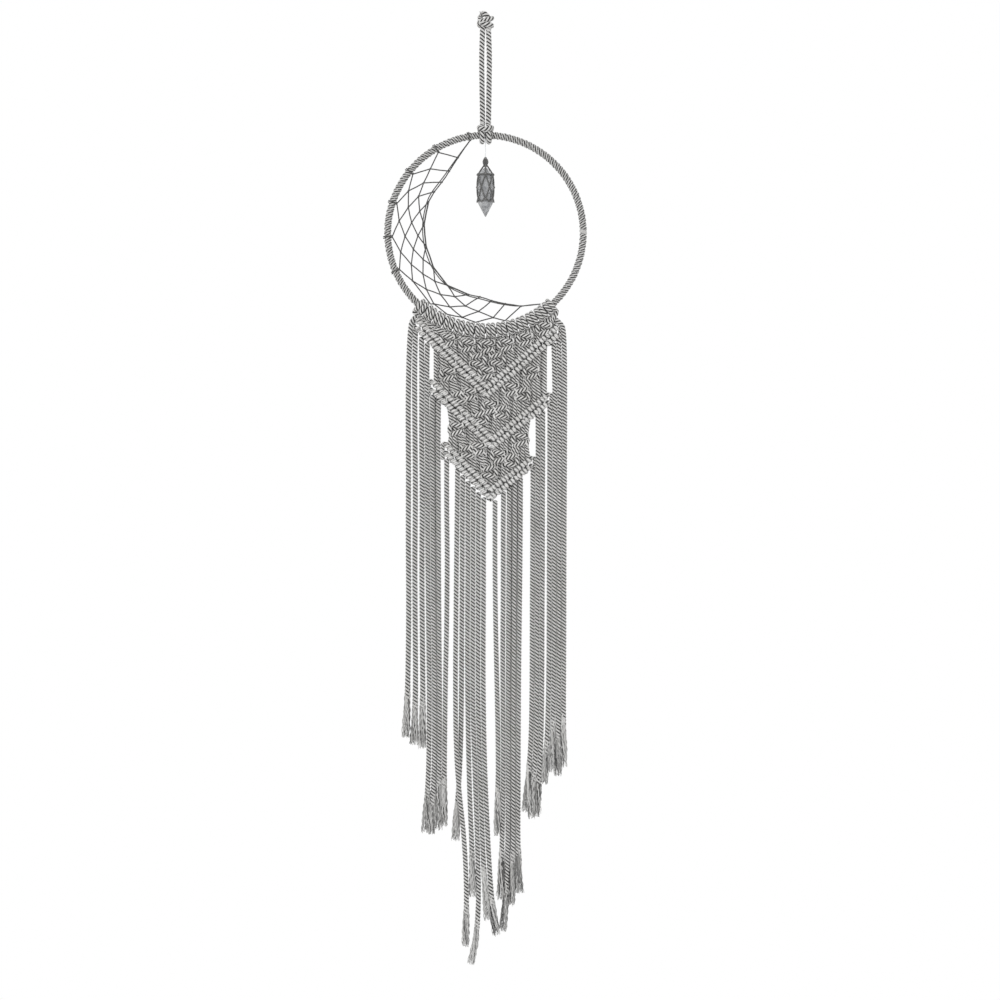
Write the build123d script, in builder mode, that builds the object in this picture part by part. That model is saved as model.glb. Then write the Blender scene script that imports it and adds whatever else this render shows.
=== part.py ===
"""Crescent-moon macrame dream catcher: a wrapped hoop with a knotted web, a crystal pendant,
a panel of square knots and half-hitch chevrons, and a long cut fringe. Millimetres, +Z up,
front towards -Y, origin where the hook holds the hanging loop, just under its top knot."""

import os
from math import atan2, cos, hypot, pi, radians, sin, sqrt, tan

from build123d import *

os.makedirs("parts", exist_ok=True)

# Hanging loop
LOOP_CORD = 5.2  # diameter of the cord of the loop
LOOP_END = -92.0  # height where the loop passes into its hitch on the hoop
KNOT_WIDTH = 17.0
KNOT_HEIGHT = 19.0
KNOT_SEAT = 0.6  # height of the knot's underside
LOOP_SPREAD = 2.9  # half distance between the two legs, measured to their centres

# Hoop
HOOP_CENTRE = -200.0  # height of the hoop's centre
HOOP_RADIUS = 96.3  # to the middle of the ring's wire
RING_WIRE = 4.0
WRAP_RADIUS = 3.7  # outside of the cord wrapping, so the hoop is 200 across
FIT = 0.05  # clearance between cord turns and what they are wound on
RUNNING_FIT = 0.35  # clearance where one body turns on another

# Web
WEB_THREAD = 1.1
WEB_KNOT = 1.0  # radius of a knot of the net
WEB_ROWS = 5
WEB_HITCHES = 11
WEB_FIRST = 99.7  # angle of the first hitch on the hoop, anticlockwise from +X
WEB_STEP = 20.65
MOON_X = 27.4  # centre of the circle that the inner edge of the web follows,
MOON_Z = 12.4  # measured from the hoop's centre
MOON_RADIUS = 87.8
# How far the inner edge stands outside that circle, at angles from the hoop's centre
EDGE_SHIFTS = (
    (99, 0), (116, -9), (131, -8.5), (150, -2.6), (170, 0), (226, 4.5), (242, 2.3), (263, -5.8),
    (282, -6.5), (302, -1.7), (310, 0),
)

# Panel and fringe
CORD = 4.5  # diameter of the panel's cord
LARK_COUNT = 14
LARK_MIDDLE = 270.0
LARK_STEP = 6.29
LARK_LEG = 1.4  # half angle between the two turns of one lark's head
PANEL_THICKNESS = 8.0
ROW_WIDTH = 6.0  # one row of half hitches, across the row
ROW_THICKNESS = 9.0
GAP = 0.2  # between neighbouring parts of the panel

# Pendant
LINE_DIAMETER = 0.8
TIE_END = -113.5  # the tie reaches below the hitch, so the line swings clear of it
LINE_TOP = -113.7
LINE_END = -125.0
PENDANT_KNOT_RADIUS = 3.1
PENDANT_KNOT_END = -134.0
CRYSTAL_TOP = -135.0
CRYSTAL_SHOULDER = -142.0
CRYSTAL_POINT = -171.0
CRYSTAL_END = -184.0
CRYSTAL_RADIUS = 7.4
CAGE_RADIUS = 8.3
CAGE_CORD = 1.4
CAGE_RINGS = (-142.5, -155.0, -167.5)

# Chevrons: upper edge of each double row, as its left end, its lowest point and its right end
CHEVRONS = {
    "top": ((-68.0, -281.0), (1.5, -348.0), (71.0, -289.0)),
    "middle": ((-53.0, -342.0), (7.0, -399.0), (62.0, -355.5)),
    "bottom": ((-39.5, -403.5), (5.5, -449.0), (45.5, -418.0)),
}

# Fringe: route of every strand from where it leaves the panel to its cut end
FRINGE = {
    "left_outer": [
        [(-73.6, 0, -290), (-75.4, 0, -318), (-76.3, 0, -372), (-75.8, 0, -436), (-76.1, 0, -502),
         (-75.5, 0, -566), (-76.2, 0, -630), (-77.2, 0, -667), (-78.6, 0, -698)],
        [(-69.2, 0, -303.5), (-69.9, 0, -336), (-69.5, 0, -396), (-69.0, 0, -458), (-69.6, 0, -522),
         (-69.3, 0, -585), (-68.8, 0, -645), (-69.5, 0, -678), (-70.6, 0, -706)],
        [(-63.0, 0, -309), (-62.6, 0, -342), (-62.9, 0, -400), (-62.2, 0, -464), (-62.7, 0, -528),
         (-62.3, 0, -590), (-61.6, 0, -648), (-62.0, 0, -680), (-62.6, 0, -709)],
    ],
    "left_inner": [
        [(-57.4, 0, -314.5), (-57.8, 0, -346), (-57.3, 0, -404), (-57.2, 0, -468), (-56.7, 0, -532),
         (-55.9, 0, -598), (-55.2, 0, -662), (-55.8, 0, -722), (-57.4, 0, -758), (-59.8, 0, -792)],
        [(-52.3, 0, -366), (-52.5, 0, -398), (-52.2, 0, -456), (-51.7, 0, -520), (-51.0, 0, -584),
         (-50.2, 0, -648), (-50.1, 0, -708), (-51.4, 0, -752), (-53.6, 0, -794)],
        [(-46.3, 0, -372), (-46.7, 0, -405), (-46.4, 0, -462), (-46.2, 0, -526), (-45.8, 0, -588),
         (-45.2, 0, -650), (-45.3, 0, -706), (-46.1, 0, -748), (-47.2, 0, -789)],
        [(-49.4, 4.7, -368.5), (-49.2, 4.7, -401), (-48.8, 4.8, -460), (-49.3, 4.8, -522),
         (-48.6, 4.7, -586), (-47.8, 4.7, -648), (-48.1, 4.7, -702), (-48.9, 4.6, -742),
         (-50.2, 4.5, -780)],
        [(-38.2, 0, -429), (-38.3, 0, -462), (-37.6, 0, -520), (-38.1, 0, -582), (-39.5, 0, -644),
         (-40.2, 0, -700), (-40.6, 0, -744), (-41.4, 0, -786)],
    ],
    "centre": [
        [(-27.6, 0, -438.5), (-27.9, 0, -470), (-28.6, 0, -526), (-29.2, -0.6, -588),
         (-29.7, -1.6, -650), (-29.0, -2.5, -708), (-25.8, -2.9, -752), (-21.4, -2.7, -790),
         (-19.0, -1.6, -832), (-18.6, -0.6, -872), (-19.6, 0, -905)],
        [(-22.4, 0, -445), (-22.8, 0, -478), (-22.9, 0, -534), (-23.4, 0.8, -596),
         (-23.6, 1.8, -656), (-24.4, 2.6, -712), (-27.2, 2.9, -758), (-30.4, 2.6, -800)],
        [(-17.2, 0, -451), (-17.5, 0, -484), (-17.4, 0, -540), (-17.9, 0, -600), (-17.6, 0, -660),
         (-16.6, 0, -716), (-15.2, 0, -764), (-13.0, 0, -812), (-12.0, 0, -856)],
        [(-12.1, 0, -456.5), (-12.4, 0, -490), (-12.3, 0, -546), (-12.7, 0, -606), (-12.6, 0, -664),
         (-10.8, 0, -720), (-9.0, 0, -768), (-7.6, 0, -812), (-6.6, 0, -854), (-8.2, 0, -885),
         (-11.2, 0, -906), (-14.6, 0, -922)],
        [(-6.9, 0, -462), (-7.2, 0, -494), (-7.1, 0, -550), (-7.5, 0, -608), (-7.3, 0, -666),
         (-5.8, 0, -722), (-4.0, 0, -768), (-2.4, 0, -812), (-0.6, 0, -848), (2.0, 0, -879)],
        [(-1.7, 0, -467), (-2.0, 0, -500), (-1.9, 0, -556), (-2.3, 0, -614), (-2.0, 0, -670),
         (-0.8, 0, -724), (1.0, 0, -768), (3.0, 0, -810), (5.4, 0, -848), (8.0, 0, -874),
         (10.8, 0, -893)],
        [(9.4, 0, -470), (9.3, 0, -502), (9.5, 0, -558), (10.6, 0, -616), (11.8, 0, -670),
         (12.6, 0, -722), (12.0, 0, -760), (11.2, 0, -795)],
        [(17.7, 0, -461), (17.4, 0, -494), (17.5, 0, -550), (17.0, 0, -610), (17.2, 0, -668),
         (17.6, 0, -722), (17.2, 0, -768), (16.0, 0, -814), (14.8, 0, -858)],
        [(23.3, 0, -456.5), (23.2, 0, -489), (22.9, 0, -546), (22.5, 0, -606), (22.3, 0, -664),
         (22.5, 0, -720), (22.3, 0, -766), (21.8, 0, -808), (21.0, 0, -842), (19.2, 0, -868),
         (16.6, 0, -890)],
        [(26.1, 4.6, -454.5), (26.0, 4.6, -487), (25.7, 4.7, -543), (25.1, 4.7, -602),
         (24.9, 4.6, -660), (25.0, 4.6, -716), (24.8, 4.6, -762), (24.1, 4.5, -806),
         (23.2, 4.4, -848)],
        [(28.9, 0, -452), (28.8, 0, -485), (28.5, 0, -541), (28.0, 0, -600), (27.6, 0, -660),
         (27.4, 0, -718), (27.5, 0, -764), (27.2, 0, -808), (26.6, 0, -838), (25.2, 0, -864)],
        [(31.7, 4.6, -450), (31.6, 4.6, -482), (31.2, 4.7, -538), (30.6, 4.7, -598),
         (30.0, 4.6, -656), (29.6, 4.6, -712), (29.7, 4.6, -758), (29.3, 4.5, -798),
         (28.7, 4.4, -834)],
        [(34.5, 0, -448), (34.4, 0, -480), (34.0, 0, -536), (33.2, 0, -596), (32.6, 0, -656),
         (32.3, 0, -712), (32.2, 0, -758), (32.0, 0, -800), (32.6, 0, -828), (33.8, 0, -852)],
    ],
    "right_inner": [
        [(46.8, 0, -438), (46.6, 0, -470), (46.4, 0, -526), (46.0, 0, -586), (45.9, 0, -644),
         (45.2, 0, -694), (42.6, 0, -734), (39.4, 0, -772)],
        [(51.7, 0, -385), (51.9, 0, -417), (51.5, 0, -472), (51.3, 0, -531), (50.9, 0, -590),
         (50.7, 0, -648), (50.1, 0, -698), (47.6, 0, -738), (44.6, 0, -778)],
        [(56.4, 0, -381.5), (56.5, 0, -413), (56.2, 0, -468), (56.1, 0, -528), (55.7, 0, -588),
         (55.6, 0, -646), (54.9, 0, -696), (52.6, 0, -738), (50.2, 0, -777)],
    ],
    "right_outer": [
        [(63.4, 0, -376), (63.3, 0, -408), (63.1, 0, -464), (62.8, 0, -522), (62.7, 0, -580),
         (62.4, 0, -636), (61.4, 0, -682), (59.8, 0, -716), (57.8, 0, -745)],
        [(67.4, 0, -314.5), (68.2, 0, -346), (68.4, 0, -404), (68.2, 0, -464), (67.6, 0, -526),
         (67.7, 0, -588), (67.2, 0, -646), (66.4, 0, -690), (65.2, 0, -733)],
        [(72.2, 0, -309.5), (73.1, 0, -341), (73.2, 0, -398), (73.0, 0, -460), (72.5, 0, -522),
         (72.6, 0, -584), (72.2, 0, -642), (71.6, 0, -690), (70.8, 0, -736)],
        [(77.0, 0, -294), (78.0, 0, -324), (78.1, 0, -380), (77.8, 0, -444), (77.4, 0, -508),
         (77.3, 0, -572), (77.1, 0, -634), (76.8, 0, -684), (76.2, 0, -728)],
    ],
}


def save(part, label):
    """Label a finished piece and write it to its own file."""
    part.label = label
    export_step(part, f"parts/{label}.step")


def on_hoop(angle, radius=HOOP_RADIUS):
    """Point in the plane of the hoop at an angle in degrees and a radius from its centre."""
    return (radius * cos(radians(angle)), 0, HOOP_CENTRE + radius * sin(radians(angle)))


def around_hoop(angle):
    """Plane square to the hoop's ring at an angle, with its origin in the wire."""
    turn = radians(angle)
    return Plane(origin=on_hoop(angle), x_dir=(0, 1, 0), z_dir=(-sin(turn), 0, cos(turn)))


def bend_radii(points):
    """Radius of the arc at each corner of a route, as large as its two runs allow."""
    corners = [Vector(*point) for point in points]
    radii = []
    for before, corner, after in zip(corners, corners[1:], corners[2:]):
        shorter = min((corner - before).length, (after - corner).length)
        turn = radians((corner - before).get_angle(after - corner))
        radii.append(0.45 * shorter / tan(turn / 2))
    return radii


def cord_tube(points, diameter):
    """Round tube along straight runs joined by tangent arcs."""
    with BuildPart() as tube:
        with BuildLine() as path:
            FilletPolyline(*points, radius=bend_radii(points))
        with BuildSketch(Plane(origin=path.line @ 0, z_dir=path.line % 0)):
            Circle(diameter / 2)
        sweep()
    return tube.part


# Hanging loop: a knot over two legs that bow slightly apart
with BuildPart() as hanging_knot:
    with BuildSketch(Plane.XZ):
        with Locations((0, KNOT_SEAT + KNOT_HEIGHT / 2)):
            Ellipse(KNOT_WIDTH / 2, KNOT_HEIGHT / 2)
        split(bisect_by=Plane.YZ)
    revolve(axis=Axis.Z)
save(hanging_knot.part, "hanging_knot")

for side, label in ((-1, "hanging_loop_left"), (1, "hanging_loop_right")):
    leg = [
        (side * LOOP_SPREAD, 0, 0),
        (side * (LOOP_SPREAD + 1.0), 0, -24),
        (side * (LOOP_SPREAD + 0.6), 0, -56),
        (side * LOOP_SPREAD, 0, LOOP_END),
    ]
    save(cord_tube(leg, LOOP_CORD), label)

# Hitch of the loop on the hoop: two turns round the ring, two legs and the bar across them
turn_radius = WRAP_RADIUS + RUNNING_FIT + LOOP_CORD / 2
turn_angle = 2.0
with BuildPart() as hanger_hitch:
    for side in (-1, 1):
        with Locations(around_hoop(90 - side * turn_angle)):
            Torus(turn_radius, LOOP_CORD / 2)
        leg_x = on_hoop(90 - side * turn_angle)[0]
        leg_foot = HOOP_CENTRE + HOOP_RADIUS + turn_radius
        with BuildSketch(Plane.XY.offset(leg_foot)):
            with Locations((leg_x, 0)):
                Circle(LOOP_CORD / 2 - 0.1)
        extrude(amount=LOOP_END - 0.4 - leg_foot)
    bar_length = 11.0
    bar_y = -6.47  # the bar lies on the upper front of the two turns
    bar_z = -96.8
    with BuildSketch(Plane.YZ.offset(-bar_length / 2)):
        with Locations((bar_y, bar_z)):
            Circle(LOOP_CORD / 2 - 0.2)
    extrude(amount=bar_length)
save(hanger_hitch.part, "hanger_hitch")

# Hoop: steel ring inside a close winding of cord
with BuildPart() as hoop_ring:
    with Locations(Plane(origin=(0, 0, HOOP_CENTRE), z_dir=(0, -1, 0))):
        Torus(HOOP_RADIUS, RING_WIRE / 2)
save(hoop_ring.part, "hoop_ring")

with BuildPart() as hoop_wrap:
    with BuildSketch(Plane.XY.offset(HOOP_CENTRE)):
        with Locations((HOOP_RADIUS, 0)):
            Circle(WRAP_RADIUS)
            Circle(RING_WIRE / 2 + FIT, mode=Mode.SUBTRACT)
    revolve(axis=Axis((0, 0, HOOP_CENTRE), (0, 1, 0)))
save(hoop_wrap.part, "hoop_wrap")

# Web: hitches round the hoop, knots where the threads meet, and the threads between them
lark_angles = [LARK_MIDDLE + LARK_STEP * (number - (LARK_COUNT - 1) / 2) for number in range(LARK_COUNT)]


def clear_of_larks(angle):
    """The angle itself, or the nearest gap between lark's heads where they sit."""
    gaps = [lark + LARK_STEP / 2 for lark in lark_angles[:-1]]
    if lark_angles[0] - LARK_STEP < angle < lark_angles[-1] + LARK_STEP:
        return min(gaps, key=lambda gap: abs(gap - angle))
    return angle


def edge_shift(angle):
    """Shift of the net's inner edge at an angle in degrees, between the listed ones."""
    for (start, first), (end, second) in zip(EDGE_SHIFTS, EDGE_SHIFTS[1:]):
        if start <= angle <= end:
            return first + (second - first) * (angle - start) / (end - start)
    return 0


def web_point(row, place):
    """Point of the net: row 0 is on the hoop, and the last row there is on the moon's edge."""
    angle = radians(WEB_FIRST + WEB_STEP * place)
    on_hoop_side = HOOP_RADIUS - WRAP_RADIUS - WEB_THREAD
    if row == 0 and WEB_FIRST + WEB_STEP * place > lark_angles[0] - LARK_STEP:
        angle = radians(clear_of_larks(WEB_FIRST + WEB_STEP * place))
        on_hoop_side -= CORD
    along = MOON_X * cos(angle) + MOON_Z * sin(angle)
    edge = along + sqrt(along**2 - MOON_X**2 - MOON_Z**2 + MOON_RADIUS**2)
    edge += edge_shift(WEB_FIRST + WEB_STEP * place)
    last_place = WEB_HITCHES - 1
    rows_here = min(WEB_ROWS, 2 * place, 2 * (last_place - place))
    depth = row / rows_here if row else 0
    radius = on_hoop_side + (edge - on_hoop_side) * depth
    return Vector(radius * cos(angle), 0, HOOP_CENTRE + radius * sin(angle))


def web_places(row):
    """Places along the hoop of the knots of one row."""
    return [number + row / 2 for number in range(WEB_HITCHES - row)]


threads = []
for row in range(1, WEB_ROWS + 1):
    for place in web_places(row):
        threads.append((web_point(row, place), web_point(row - 1, place - 0.5)))
        threads.append((web_point(row, place), web_point(row - 1, place + 0.5)))
last_row = web_places(WEB_ROWS)
for place, following in zip(last_row, last_row[1:]):
    threads.append((web_point(WEB_ROWS, place), web_point(WEB_ROWS, following)))

with BuildPart() as web_net:
    for start, end in threads:
        along = (end - start).normalized()
        length = (end - start).length - 2 * (WEB_KNOT + FIT)
        with BuildSketch(Plane(origin=start + along * (WEB_KNOT + FIT), z_dir=along)):
            Circle(WEB_THREAD / 2)
        extrude(amount=length)
save(web_net.part, "web_net")

with BuildPart() as web_knots:
    for row in range(1, WEB_ROWS + 1):
        with Locations(*[web_point(row, place) for place in web_places(row)]):
            Sphere(WEB_KNOT)
save(web_knots.part, "web_knots")

with BuildPart() as web_hitches:
    for number in range(WEB_HITCHES):
        with Locations(around_hoop(clear_of_larks(WEB_FIRST + WEB_STEP * number))):
            Torus(WRAP_RADIUS + FIT + WEB_THREAD / 2, WEB_THREAD / 2)
save(web_hitches.part, "web_hitches")

# Lark's heads: two turns of each folded cord round the hoop
with BuildPart() as lark_heads:
    for angle in lark_angles:
        with Locations(around_hoop(angle - LARK_LEG), around_hoop(angle + LARK_LEG)):
            Torus(WRAP_RADIUS + FIT + CORD / 2, CORD / 2)
save(lark_heads.part, "lark_heads")


# Chevrons: two rows of half hitches on each arm, one node for each arm
def edge_height(chevron, x):
    """Height of the upper edge of a chevron at x."""
    left, low, right = CHEVRONS[chevron]
    outer = left if x < low[0] else right
    return low[1] + (outer[1] - low[1]) * (x - low[0]) / (outer[0] - low[0])


def row_height(chevron, side):
    """Height that one row takes up when it is measured straight down."""
    outer, low = CHEVRONS[chevron][1 + side], CHEVRONS[chevron][1]
    slope = atan2(abs(outer[1] - low[1]), abs(outer[0] - low[0]))
    return ROW_WIDTH / cos(slope)


def chevron_arm(chevron, side):
    """Two rows of half hitches side by side, cut square to X at both ends."""
    outer, low = CHEVRONS[chevron][1 + side], CHEVRONS[chevron][1]
    spare = ROW_THICKNESS
    along = Vector(outer[0] - low[0], 0, outer[1] - low[1]).normalized()
    inner_x = low[0] + side * GAP / 2
    height = row_height(chevron, side)
    with BuildPart() as arm:
        for number in range(2):
            middle = low[1] - height * (number + 0.5)
            start = Vector(low[0], 0, middle) - along * spare
            length = hypot(outer[0] - low[0], outer[1] - low[1]) + 2 * spare
            with BuildSketch(Plane(origin=start, x_dir=(0, 1, 0), z_dir=along)):
                Ellipse(ROW_THICKNESS / 2, ROW_WIDTH / 2 - FIT)
            extrude(amount=length)
        outward = Plane(origin=(inner_x, 0, 0), z_dir=(side, 0, 0))
        inward = Plane(origin=(outer[0], 0, 0), z_dir=(-side, 0, 0))
        split(bisect_by=outward)
        split(bisect_by=inward)
    return arm.part


for chevron in CHEVRONS:
    save(chevron_arm(chevron, -1), f"chevron_{chevron}_left")
    save(chevron_arm(chevron, 1), f"chevron_{chevron}_right")


# Fields of square knots, between the hoop and the first chevron and between the chevrons
def lower_edge(chevron, x):
    """Height of the lower edge of a chevron at x."""
    side = -1 if x < CHEVRONS[chevron][1][0] else 1
    return edge_height(chevron, x) - 2 * row_height(chevron, side)


def field_between(above, below, left_x, right_x):
    """Slab that fills the space between two chevrons."""
    above_x, below_x = CHEVRONS[above][1][0], CHEVRONS[below][1][0]
    low_tip = min(lower_edge(above, above_x), lower_edge(above, above_x - FIT))
    with BuildPart() as field:
        with BuildSketch(Plane.XZ.offset(-PANEL_THICKNESS / 2)):
            with BuildLine():
                Polyline(
                    (left_x, lower_edge(above, left_x) - GAP),
                    (above_x, low_tip - GAP),
                    (right_x, lower_edge(above, right_x) - GAP),
                    (right_x, edge_height(below, right_x) + GAP),
                    (below_x, edge_height(below, below_x) + GAP),
                    (left_x, edge_height(below, left_x) + GAP),
                    close=True,
                )
            make_face()
        extrude(amount=PANEL_THICKNESS)
    return field.part


field_radius = HOOP_RADIUS + WRAP_RADIUS + FIT + CORD + 2 * GAP
top_left = -64.0
top_right = 69.0
with BuildPart() as knot_field_top:
    with BuildSketch(Plane.XZ.offset(-PANEL_THICKNESS / 2)):
        with BuildLine():
            corner_left = (top_left, HOOP_CENTRE - sqrt(field_radius**2 - top_left**2))
            corner_right = (top_right, HOOP_CENTRE - sqrt(field_radius**2 - top_right**2))
            ThreePointArc(corner_left, (0, HOOP_CENTRE - field_radius), corner_right)
            low_x, low_z = CHEVRONS["top"][1]
            Polyline(
                corner_right,
                (top_right, edge_height("top", top_right) + GAP),
                (low_x, low_z + GAP),
                (top_left, edge_height("top", top_left) + GAP),
                corner_left,
            )
        make_face()
    extrude(amount=PANEL_THICKNESS)
save(knot_field_top.part, "knot_field_top")
save(field_between("top", "middle", -51.5, 61.0), "knot_field_middle")
save(field_between("middle", "bottom", -38.5, 45.0), "knot_field_bottom")

# Pendant: a clear line tied round the hoop, a knot, and a crystal in a netted cage
tie_wire = LINE_DIAMETER / 2
tie_radius = WRAP_RADIUS + RUNNING_FIT + tie_wire
tie_low = HOOP_CENTRE + HOOP_RADIUS - tie_radius
with BuildPart() as pendant_tie:
    with Locations(around_hoop(90)):
        Torus(tie_radius, tie_wire)
    with BuildSketch(Plane.XY.offset(tie_low)):
        Circle(tie_wire - 0.01)
    extrude(amount=TIE_END - tie_low)
save(pendant_tie.part, "pendant_tie")

with BuildPart() as pendant_line:
    with BuildSketch(Plane.XY.offset(LINE_TOP)):
        Circle(LINE_DIAMETER / 2)
    extrude(amount=LINE_END - LINE_TOP)
save(pendant_line.part, "pendant_line")

knot_top = LINE_END - RUNNING_FIT
with BuildPart() as pendant_knot:
    with BuildSketch(Plane.XZ):
        with Locations((0, (knot_top + PENDANT_KNOT_END) / 2)):
            Ellipse(PENDANT_KNOT_RADIUS, (knot_top - PENDANT_KNOT_END) / 2)
        split(bisect_by=Plane.YZ)
    revolve(axis=Axis.Z)
save(pendant_knot.part, "pendant_knot")

tip_radius = 0.6
with BuildPart() as crystal:
    for height, radius in ((CRYSTAL_TOP, tip_radius), (CRYSTAL_SHOULDER, CRYSTAL_RADIUS)):
        with BuildSketch(Plane.XY.offset(height)):
            RegularPolygon(radius, 6)
    loft(ruled=True)
    with BuildSketch(Plane.XY.offset(CRYSTAL_SHOULDER)):
        RegularPolygon(CRYSTAL_RADIUS, 6)
    extrude(amount=CRYSTAL_POINT - CRYSTAL_SHOULDER)
    for height, radius in ((CRYSTAL_POINT, CRYSTAL_RADIUS), (CRYSTAL_END, tip_radius)):
        with BuildSketch(Plane.XY.offset(height)):
            RegularPolygon(radius, 6)
    loft(ruled=True)
save(crystal.part, "crystal")

cage_legs = 6
leg_radius = CAGE_CORD / 2 - FIT
leg_end = CAGE_CORD / 2 + FIT
with BuildPart() as crystal_cage:
    with Locations(*[(0, 0, height) for height in CAGE_RINGS]):
        Torus(CAGE_RADIUS, CAGE_CORD / 2)
    for above, below in zip(CAGE_RINGS, CAGE_RINGS[1:]):
        with BuildSketch(Plane.XY.offset(above - leg_end)):
            with PolarLocations(CAGE_RADIUS, cage_legs, start_angle=180 / cage_legs):
                Circle(leg_radius)
        extrude(amount=below - above + 2 * leg_end)
    for number in range(cage_legs):
        turn = 2 * pi * (number + 0.5) / cage_legs
        inner = 1.8
        start = Vector(inner * cos(turn), inner * sin(turn), PENDANT_KNOT_END - 0.6)
        ring = Vector(CAGE_RADIUS * cos(turn), CAGE_RADIUS * sin(turn), CAGE_RINGS[0])
        with BuildSketch(Plane(origin=start, z_dir=ring - start)):
            Circle(leg_radius)
        extrude(amount=(ring - start).length - 2 * leg_end)
save(crystal_cage.part, "crystal_cage")

# Fringe: every strand is a cord of its own
for bundle, routes in FRINGE.items():
    for number, route in enumerate(routes, start=1):
        label = f"{bundle}_strand_{number}"
        strand = cord_tube(route, CORD)
        save(strand, label)
        runs = [(Vector(*b) - Vector(*a)).length for a, b in zip(route, route[1:])]
        radii = ", ".join(str(round(radius)) for radius in bend_radii(route))
        solid_length = strand.volume / (pi * CORD**2 / 4)
        print(f"{label}: length {solid_length:.0f} of {sum(runs):.0f}, radii {radii}")
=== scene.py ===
import math

import bmesh
import bpy
import numpy as np
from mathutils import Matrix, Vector


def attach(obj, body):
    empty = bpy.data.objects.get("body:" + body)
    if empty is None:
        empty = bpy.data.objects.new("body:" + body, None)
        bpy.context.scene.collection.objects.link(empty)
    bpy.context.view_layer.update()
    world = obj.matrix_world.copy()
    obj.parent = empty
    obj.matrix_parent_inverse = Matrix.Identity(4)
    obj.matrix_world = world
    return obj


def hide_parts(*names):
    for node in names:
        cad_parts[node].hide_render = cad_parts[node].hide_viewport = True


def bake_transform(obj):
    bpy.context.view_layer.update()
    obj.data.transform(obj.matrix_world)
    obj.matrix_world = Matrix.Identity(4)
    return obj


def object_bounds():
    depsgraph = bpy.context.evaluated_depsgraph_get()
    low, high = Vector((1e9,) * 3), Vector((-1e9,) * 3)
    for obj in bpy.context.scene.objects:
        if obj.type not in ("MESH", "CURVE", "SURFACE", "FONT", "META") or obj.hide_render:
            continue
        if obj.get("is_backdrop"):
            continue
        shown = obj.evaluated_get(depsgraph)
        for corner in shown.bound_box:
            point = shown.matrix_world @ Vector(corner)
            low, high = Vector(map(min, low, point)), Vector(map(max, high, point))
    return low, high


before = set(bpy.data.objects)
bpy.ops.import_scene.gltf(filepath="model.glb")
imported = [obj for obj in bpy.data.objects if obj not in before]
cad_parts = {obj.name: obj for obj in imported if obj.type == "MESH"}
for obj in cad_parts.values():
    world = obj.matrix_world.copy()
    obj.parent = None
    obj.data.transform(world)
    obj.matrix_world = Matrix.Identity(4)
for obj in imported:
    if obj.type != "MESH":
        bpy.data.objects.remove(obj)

CAD_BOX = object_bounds()
MM = 0.001
SEED = 7
UP_Y = np.array([0.0, 1.0, 0.0])
WORLD_STRENGTH = 1.0
LIGHTS = (  # name, place, size and power
    ("key", (-1.6, -2.2, 1.2), (1.0, 1.0), 20.0),
    ("fill", (2.0, -1.8, 0.2), (1.6, 1.6), 4.0),
    ("rim", (0.6, 2.4, 1.0), (1.4, 1.4), 6.0),
)

# ---------------------------------------------------------------- camera and cord routes first
LENS = 100.0
SENSOR = 36.0
VIEW_WIDTH = 0.985  # metres across the picture at the object
LOOK_AT = Vector((0.0143, 0.0, -0.463))
camera_data = bpy.data.cameras.new("camera")
camera_data.lens = LENS
camera_data.sensor_width = SENSOR
camera = bpy.data.objects.new("camera", camera_data)
camera.location = LOOK_AT + Vector((0, -VIEW_WIDTH * LENS / SENSOR, 0))
camera.rotation_euler = (math.pi / 2, 0, 0)
bpy.context.collection.objects.link(camera)
bpy.context.scene.camera = camera
bpy.context.scene.view_settings.view_transform = "Standard"

# Sizes that part.py has too, in millimetres
CORD = 4.5
HOOP_Z = -200.0
HOOP_R = 96.3
WRAP_R = 3.7
LARK_COUNT = 14
LARK_STEP = 6.29
LARK_LEG = 1.4
WEB_FIRST = 99.7
WEB_STEP = 20.65
WEB_ROWS = 5
WEB_HITCHES = 11
MOON = (27.4, 12.4, 87.8)  # x, z and radius of the web's inner edge, from the hoop's centre
EDGE_ANGLES = (99, 116, 131, 150, 170, 226, 242, 263, 282, 302, 310)
EDGE_SHIFTS = (0, -9, -8.5, -2.6, 0, 4.5, 2.3, -5.8, -6.5, -1.7, 0)
ROW_WIDTH = 6.0
CHEVRONS = {
    "top": ((-68.0, -281.0), (1.5, -348.0), (71.0, -289.0)),
    "middle": ((-53.0, -342.0), (7.0, -399.0), (62.0, -355.5)),
    "bottom": ((-39.5, -403.5), (5.5, -449.0), (45.5, -418.0)),
}

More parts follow.
